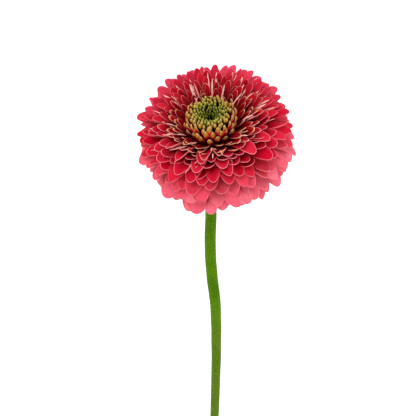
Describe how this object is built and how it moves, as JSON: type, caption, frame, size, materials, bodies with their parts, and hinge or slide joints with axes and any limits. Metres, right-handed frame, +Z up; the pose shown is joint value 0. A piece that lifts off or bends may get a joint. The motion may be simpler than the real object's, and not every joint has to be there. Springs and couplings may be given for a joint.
{
  "type": "cut gerbera stem",
  "caption": "Cut double gerbera, a round head of strap florets in whorls round a green centre on one leafless stem, lying on its back.",
  "frame": {"origin": "centre of the footprint, on the surface that the flower lies on", "axes": "+Y along the stem towards the flower head, +Z up from the surface, +X across"},
  "size_m": [0.075, 0.396, 0.0694],
  "materials": {
    "ray_coral": "velvety coral-pink floret blades, paler at the rim and on the back",
    "ray_crimson": "velvety deep crimson florets of the inner whorls, with pale rims",
    "crown_ochre": "ochre cupped tips on crimson feet",
    "disc_green": "matte lime-green closed florets",
    "bract_green": "matte green bracts and receptacle",
    "stem_green": "satin green stem with short pale hairs"
  },
  "bodies": {
    "root": {"ray_floret_01": "ray_coral", "ray_floret_02": "ray_coral", "ray_floret_03": "ray_coral", "ray_floret_04": "ray_coral", "ray_floret_05": "ray_coral", "ray_floret_06": "ray_coral", "ray_floret_07": "ray_coral", "ray_floret_08": "ray_coral", "ray_floret_09": "ray_coral", "ray_floret_10": "ray_coral", "ray_floret_11": "ray_coral", "ray_floret_12": "ray_coral", "ray_floret_13": "ray_coral", "ray_floret_14": "ray_coral", "ray_floret_15": "ray_coral", "ray_floret_16": "ray_coral", "ray_floret_17": "ray_coral", "ray_floret_18": "ray_coral", "ray_floret_19": "ray_coral", "ray_floret_20": "ray_coral", "ray_floret_21": "ray_coral", "ray_floret_22": "ray_coral", "ray_floret_23": "ray_coral", "ray_floret_24": "ray_coral", "ray_floret_25": "ray_coral", "ray_floret_26": "ray_coral", "ray_floret_27": "ray_coral", "ray_floret_28": "ray_coral", "ray_floret_29": "ray_coral", "ray_floret_30": "ray_coral", "ray_floret_31": "ray_coral", "ray_floret_32": "ray_coral", "ray_floret_33": "ray_coral", "ray_floret_34": "ray_coral", "ray_floret_35": "ray_coral", "ray_floret_36": "ray_coral", "ray_whorl_03": "ray_coral", "ray_whorl_04": "ray_coral", "ray_whorl_05": "ray_coral", "ray_whorl_06": "ray_crimson", "ray_whorl_07": "ray_crimson", "ray_whorl_08": "ray_crimson", "ray_whorl_09": "ray_crimson", "ray_whorl_10": "ray_crimson", "crown_ring_1": "crown_ochre", "crown_ring_2": "crown_ochre", "crown_ring_3": "crown_ochre", "disc_florets": "disc_green", "receptacle": "bract_green", "bracts_inner": "bract_green", "bracts_outer": "bract_green", "stem": "stem_green"}
  },
  "joints": []
}
